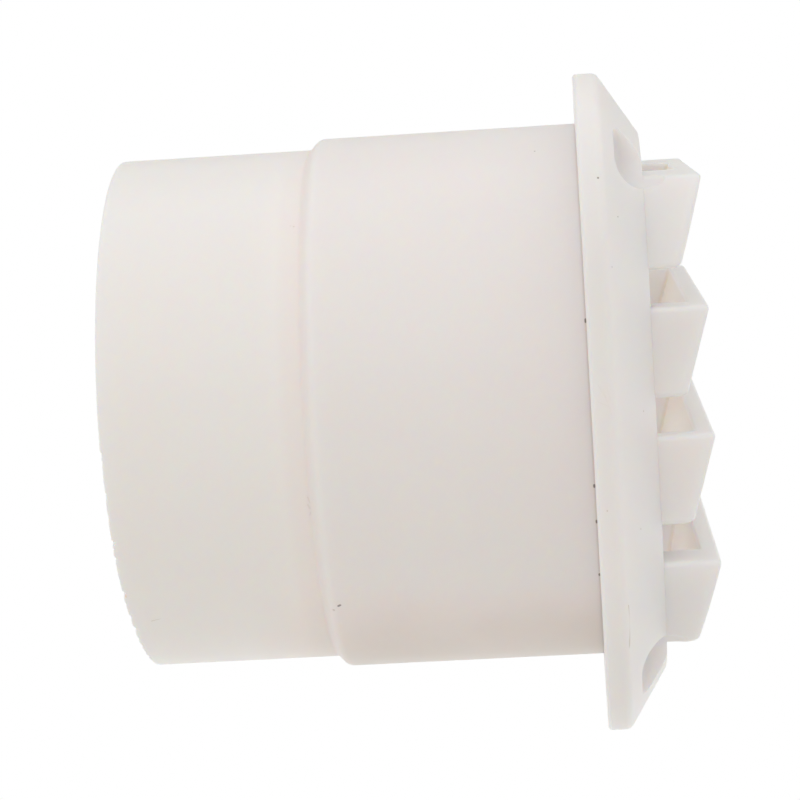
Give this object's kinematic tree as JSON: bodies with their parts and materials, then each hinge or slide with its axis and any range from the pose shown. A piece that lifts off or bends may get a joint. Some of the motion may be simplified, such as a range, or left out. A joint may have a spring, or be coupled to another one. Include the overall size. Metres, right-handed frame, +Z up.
{
  "type": "louvred duct vent",
  "caption": "Louvred wall vent in white plastic: rounded square face plate with sloping hoods and screw pockets, and a stepped round duct behind it.",
  "frame": {"origin": "on the duct's axis in the wall plane, which is the back of the face plate", "axes": "+Y along the duct into the wall, +Z up as fitted, louvre mouths facing -Z"},
  "size_m": [0.123, 0.111, 0.123],
  "materials": {
    "white_plastic": "gloss"
  },
  "bodies": {
    "root": {"duct": "white_plastic", "face_plate": "white_plastic", "louvre_hoods": "white_plastic"}
  },
  "joints": []
}
